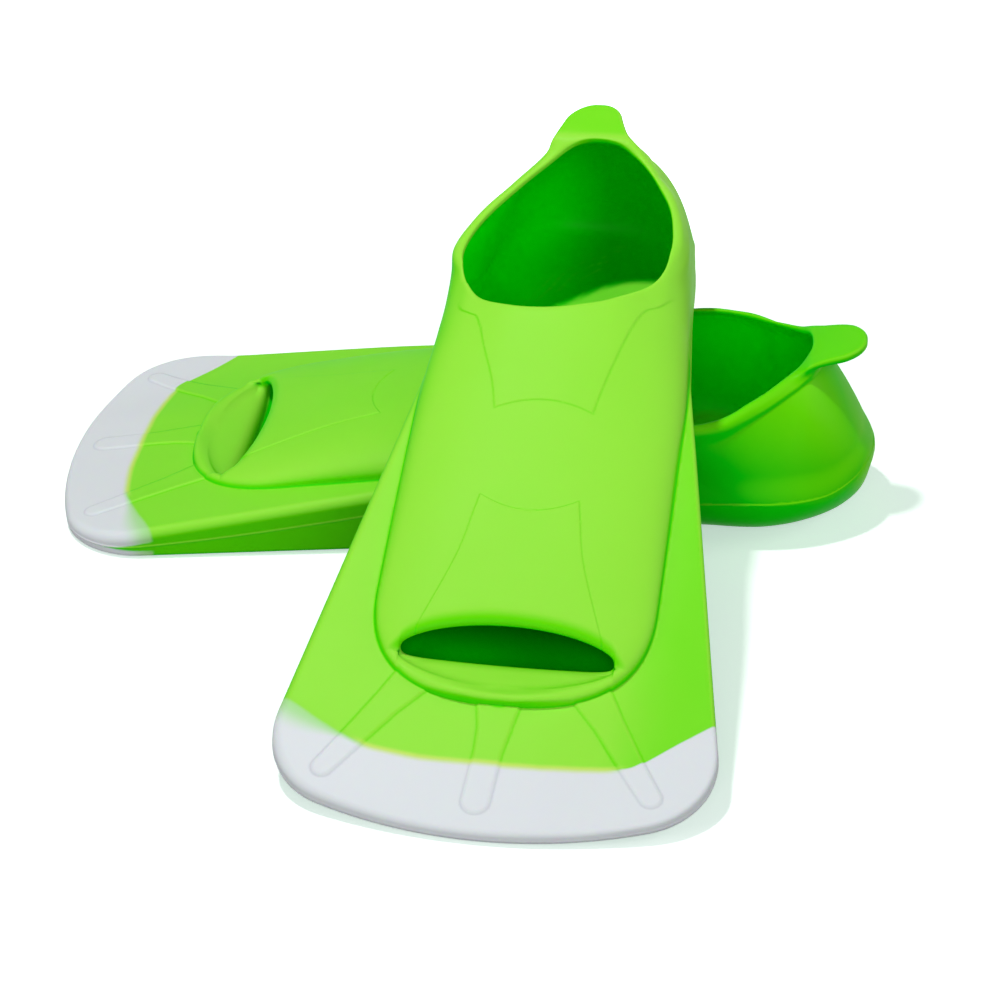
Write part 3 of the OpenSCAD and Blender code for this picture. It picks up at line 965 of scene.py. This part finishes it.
def limeColour(shader, place):
    tone = shader.noise(place, limeFinish["toneScale"], 3)
    # painted shade: the depth attribute, the edge lines and a little random tone turn lit lime into its
    # shaded copies
    paintedShade = shader.attribute("depth") + shader.attribute("line") * limeFinish["edgeShadeShare"]
    paintedShade = (paintedShade + (tone - 0.5) * limeFinish["toneShare"]).clip()
    outer = shader.mix((paintedShade * 2.0).clip(), limeFinish["lit"], limeFinish["side"])
    outer = shader.mix((paintedShade * 2.0 - 1.0).clip(), outer, limeFinish["paintedShade"])
    outer = shader.mix(shader.attribute("seamHighlight") * limeFinish["seamHighlightShare"], outer, limeFinish["lit"])
    # inside the room: painted shade, lifted by the walls' painted glow
    inner = shader.mix(shader.attribute("glow").clip(), limeFinish["inner"], limeFinish["innerGlow"])
    inner = shader.mix(shader.attribute("toe").clip(), inner, limeFinish["toeRoomShade"])
    return shader.mix(shader.attribute("room").clip(), outer, inner)


def finishSilicone(shader, place):
    smooth = shader.attribute("smooth").clip()
    grain = shader.noise(place, limeFinish["grainScale"], 2, 0.6)
    coarse = shader.noise(place, limeFinish["grainScale"] * limeFinish["coarse"], 2, 0.5)
    fineShare, coarseShare = limeFinish["grainShares"]
    height = (grain * fineShare + coarse * coarseShare) * (1 - smooth * limeFinish["smoother"])
    shader.set("Normal", shader.bump(height, limeFinish["bump"], limeFinish["grainDepth"]))
    cloud = (shader.noise(place, limeFinish["cloudScale"], 3) - 0.5) * limeFinish["cloudShare"]
    shader.set("Roughness", limeFinish["roughness"] + cloud - smooth * limeFinish["polish"])
    shader.set("IOR", limeFinish["ior"])
    shader.set("Specular IOR Level", limeFinish["shine"])
    shader.set("Subsurface Weight", limeFinish["through"])
    shader.set("Subsurface Radius", limeFinish["throughRadius"])
    shader.set("Subsurface Scale", limeFinish["throughScale"])


def limeSilicone():
    shader = newSurface("limeSilicone")
    place = shader.place()
    shader.set("Base Color", limeColour(shader, place))
    finishSilicone(shader, place)
    return shader.owner


def bladeSilicone():
    shader = newSurface("bladeSilicone")
    place = shader.place()
    wander = (shader.noise(place, paleFinish["wanderScale"], 2) - 0.5) * paleFinish["wander"]
    reach = shader.attribute("tipReach") + wander
    green = limeColour(shader, place)
    corner = shader.attribute("corner").clip()
    crisp = shader.attribute("crisp").clip()
    middle = (1 - corner - crisp).clip()
    edgeShade = shader.attribute("line") * paleFinish["edgeShadeShare"]
    pale = shader.mix(edgeShade, paleFinish["colour"], paleFinish["line"])
    yellow = shader.mix(reach.step(*paleFinish["fringeAt"]) * middle, green, paleFinish["fringe"])
    between = shader.mix(reach.step(*paleFinish["mintAt"]) * corner, yellow, paleFinish["mint"])
    blur = shader.attribute("blur")
    white = reach.step(*paleFinish["paleAt"]) * middle + reach.step(*paleFinish["crispAt"]) * crisp
    white = white + blur.step(*paleFinish["blurAt"]) * corner
    colour = shader.mix(white.clip(), between, pale)
    shader.set("Base Color", shader.mix(shader.attribute("streak").clip(), colour, green))
    finishSilicone(shader, place)
    return shader.owner


floorFinish = {
    "bounce": (0.28, 0.28, 0.28, 1),
    "seen": (1, 1, 1, 1),
    "lift": (2.2, 2.75, 2.48, 1),  # seen by the camera in the shadows, which it paints pale and a little green
    "share": 0.2,
    "middle": (0.03, -0.05, 0.0),
    "clear": (0.26, 0.42),  # the floor fades to plain white between these distances
    "reach": 6.0,
    "below": 0.0004,
}


def makeFloor():
    size = floorFinish["reach"]
    mesh = bpy.data.meshes.new("floor")
    corners = [(-size, -size, 0), (size, -size, 0), (size, size, 0), (-size, size, 0)]
    mesh.from_pydata(corners, [], [(0, 1, 2, 3)])
    floor = bpy.data.objects.new("floor", mesh)
    floor.location.z = -floorFinish["below"]
    scene.collection.objects.link(floor)
    shader = newSurface("paleFloor")
    camera = shader.lightPath("Is Camera Ray")
    shader.set("Base Color", shader.mix(camera, floorFinish["bounce"], floorFinish["seen"]))
    shader.set("Roughness", 1.0)
    shader.set("Specular IOR Level", 0.0)
    colour = shader.mix(camera, floorFinish["seen"], floorFinish["lift"])
    white = shader.node("ShaderNodeEmission", {}, {"Color": colour, "Strength": 1.0})
    here = shader.node("ShaderNodeNewGeometry", out="Position")
    ends = [here, floorFinish["middle"]]
    away = shader.node("ShaderNodeVectorMath", {"operation": "DISTANCE"}, ends, out="Value")
    share = floorFinish["share"] + away.step(*floorFinish["clear"]) * (1 - floorFinish["share"])
    paint = Socket(shader, shader.main.outputs[0])
    shader.finish(shader.mixShaders((camera * share).most(shader.mirrored()), paint, white))
    mesh.materials.append(shader.owner)


def makeWorld():
    scene.world = bpy.data.worlds.new("studio")
    shader = Shader(scene.world, "Background", "World Output")
    shader.set("Color", (1, 1, 1, 1))
    shader.set("Strength", studioLight["world"])
    white = shader.node("ShaderNodeBackground", {}, {"Color": (1, 1, 1, 1), "Strength": 1.0})
    seen = shader.lightPath("Is Camera Ray").most(shader.mirrored())
    shader.finish(shader.mixShaders(seen, Socket(shader, shader.main.outputs[0]), white))


print("camera and light")
scene.view_settings.view_transform = "Standard"
makeCamera()
for lampName in ("key", "fill", "side", "far"):
    makeLamp(lampName + "Lamp", studioLight[lampName])
makeWorld()
makeFloor()

print("fin form")
finPoints, finFaces = makeFinMesh()
finNormals = unitNormals(finPoints)
finPieces = sortPieces(finPoints, finFaces)
uu, vv, ww = finPoints.T
print("fin mesh", len(finPoints), "points", len(finFaces), "faces")

# Painted shade and painted highlights, with the pale tip's own colour edges: sizes and shares of their
# masks
toneForm = {
    "rimDrop": 2.0,  # how far under the rim the room's painted shade starts
    "innerDrop": 1.4,  # how much nearer it starts on the inner side
    "slotRollShade": 0.6,
    "panelEdgeShade": 0.55,
    "panelWidth": 0.3,
    "ribWidth": 0.42,
    "seamWidth": 0.4,
    "creaseShadeReach": 3.2,
    "streakHalf": 2.4,
    "streakTaper": 0.11,
    "blur": (3.0, 11.0),  # how soft the border is, and how much softer at the outer corner
}

# where the room's painted shade shows
innerSide = ease(vv, 0, 20) * (1 - ease(uu, 105, 120))
underRim = rimHeight(uu, vv) - ww - toneForm["rimDrop"] + toneForm["innerDrop"] * innerSide
insideRoom = (1 - ease(roomCut(uu, vv, ww), 0.2, 0.9)) * ease(underRim, 0, 1)
insideSlot = ease(uu, toeForm["mid"] - 5, toeForm["mid"] - 4)
overLedge = ww - ledgeHeight(uu, vv)
slotReach = toeSlot(uu, vv, ww)
# painted shade along the rounded top edge of the toe slot
nearSlot = (1 - ease(slotReach, 2.0, 6.0)) * (1 - ease(uu, 281, 285)) * ease(overLedge, 2, 5)
slotRollShade = toneForm["slotRollShade"] * nearSlot
# painted shade on the toe slot's inner walls
slotWallShade = (1 - ease(slotReach, 0.4, 1.2)) * ease(overLedge, 1.5, 3) * (1 - ease(uu, 284, 287))
pastCrease = outerFoot(uu, vv, ww) - blade(uu, vv, ww)
onDeck = ease(pastCrease, 0.6, 1.8)
# painted shade in the crease where the foot meets the blade
creaseShade = 1 - ease(np.maximum(2.2 * pastCrease, -pastCrease), 0.0, toneForm["creaseShadeReach"])
seamRise = ww - bladeParting(uu, vv)
onEdge = ease(bladePlan(uu, vv), -1.6, -0.6)
# painted shade along the foot of the panels' and the ribs' edges
panelMark = np.exp(-((panelEdges(uu, vv, ww) + 0.2) / toneForm["panelWidth"]) ** 2)
panelEdgeShade = toneForm["panelEdgeShade"] * panelShare(uu, vv) * panelMark * (1 - insideRoom)
ribMark = np.exp(-((ribDepth(uu, vv) + 0.6) / toneForm["ribWidth"]) ** 2)
ribEdgeShade = ribMark * ease(deckTop(uu, vv) - ww, 1.6, 0.8) * onDeck
onTab = ease(28 - uu, 0, 5) * ease(ww, 66, 70)
onBed = (insideRoom > 0.5) & (ww < 24) & (uu < 150)
pastBorder = tipReach(uu, vv)
streakHalf = toneForm["streakHalf"] - toneForm["streakTaper"] * np.maximum(pastBorder, 0)
borderBlur, cornerBlur = toneForm["blur"]
pieceFacts = {
    "tipReach": pastBorder,
    "smooth": 1 - ease(rimHeight(uu, vv) - ww, 3, 7),
    # painted shade, darker deeper in the toe room and on the slot's walls
    "toe": np.maximum(ease(uu, 170, 215) * (0.8 - 0.45 * ease(uu, 254, 279)), slotWallShade),
    "line": np.maximum(panelEdgeShade, ribEdgeShade),
    "corner": ease(-vv, 46, 56),
    "blur": pastBorder / (borderBlur + cornerBlur * ease(-vv, 54, 84)),
    "crisp": ease(vv, 44, 54),
    "streak": ease(-vv, 60, 70) * onEdge * ease(streakHalf - np.abs(seamRise + 0.4), -0.4, 0.4),
    # painted highlight: a lighter line along the blade's parting seam
    "seamHighlight": onEdge * ease(uu, 150, 180) * np.exp(-(seamRise / toneForm["seamWidth"]) ** 2),
}


def roomLight(side, turn, shift):  # painted light and shade in the room: how bright its walls are with a painted glow, and how far they show the room's shaded colour, less where the key lamp lights the bed
    lit = np.zeros(len(finPoints))
    lit[onBed] = keyReach(finPoints[onBed], turn, shift)
    glow = np.ones(len(finPoints))
    if side == "right":
        glow = np.clip(0.15 + 0.95 * ease(-vv, -14, 36) - 0.25 * (1 - ease(uu, 30, 62)), 0, 1)
    return glow, np.maximum(insideRoom * (1 - insideSlot) * (1 - 0.6 * lit), slotWallShade)


# Painted light: how much of each lamp a place gets, from how it faces in the frame
lightForm = {
    "key": 0.68,
    "keyUp": 0.96,
    "keyAcross": 0.22,
    "fill": 0.5,
    "fillUp": 0.3,
    "fillToward": 0.94,
    "fillAcross": 0.15,
    "base": 0.1,
    "sky": 0.03,
    "span": 0.62,
    "held": 0.55,  # faces turned to the back or the right stay nearer plain lime
    "crease": 0.85,
}


def shadeDepth(facts, normals):  # painted shade: 0 is lit lime, 1 is the deepest green
    across, toward, up = normals.T
    key = np.maximum(lightForm["keyUp"] * up - lightForm["keyAcross"] * across, 0)
    fill = lightForm["fillUp"] * up - lightForm["fillToward"] * toward
    fill = fill + lightForm["fillAcross"] * across
    lit = lightForm["key"] * key + lightForm["base"] + lightForm["sky"] * up
    lit += lightForm["fill"] * np.maximum(fill, 0)
    lit += facts["across"] * np.maximum(across, 0)
    shade = curve(facts["shade"], uu) + facts["wingShade"] * ease(vv, 25, 70) * onDeck + facts["tab"] * onTab
    turned = np.maximum(ease(toward, 0.1, 0.5), ease(across, 0.7, 0.95))
    depth = np.clip((1.0 - lit) / lightForm["span"] + shade, 0, 1 - lightForm["held"] * turned)
    return np.maximum(depth, np.maximum(lightForm["crease"] * creaseShade, slotRollShade))


lime = limeSilicone()
twoTone = bladeSilicone()
for side, facts in fins.items():
    turn, shift = finTransform(side)
    # painted shade and painted light for this fin, from how its places face the lamps, stored as depth
    depth = shadeDepth(facts, finNormals @ turn.T)
    glow, room = roomLight(side, turn, shift)
    sideFacts = dict(pieceFacts, depth=depth, glow=glow, room=room)
    sidePoints = bendTab(finPoints) if side == "left" else finPoints
    for part in ("foot_pocket", "sole", "blade", "blade_tip", "heel_tab"):
        node = side + "_" + part
        faces = [finFaces[i] for i in np.nonzero(finPieces == part)[0]]
        piece = makePiece(node + "_form", sidePoints, finNormals, faces, sideFacts, turn, shift)
        piece.data.materials.append(twoTone if part.startswith("blade") else lime)
        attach(piece, facts["body"])
        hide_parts(node)
        print(node, len(faces), "faces")
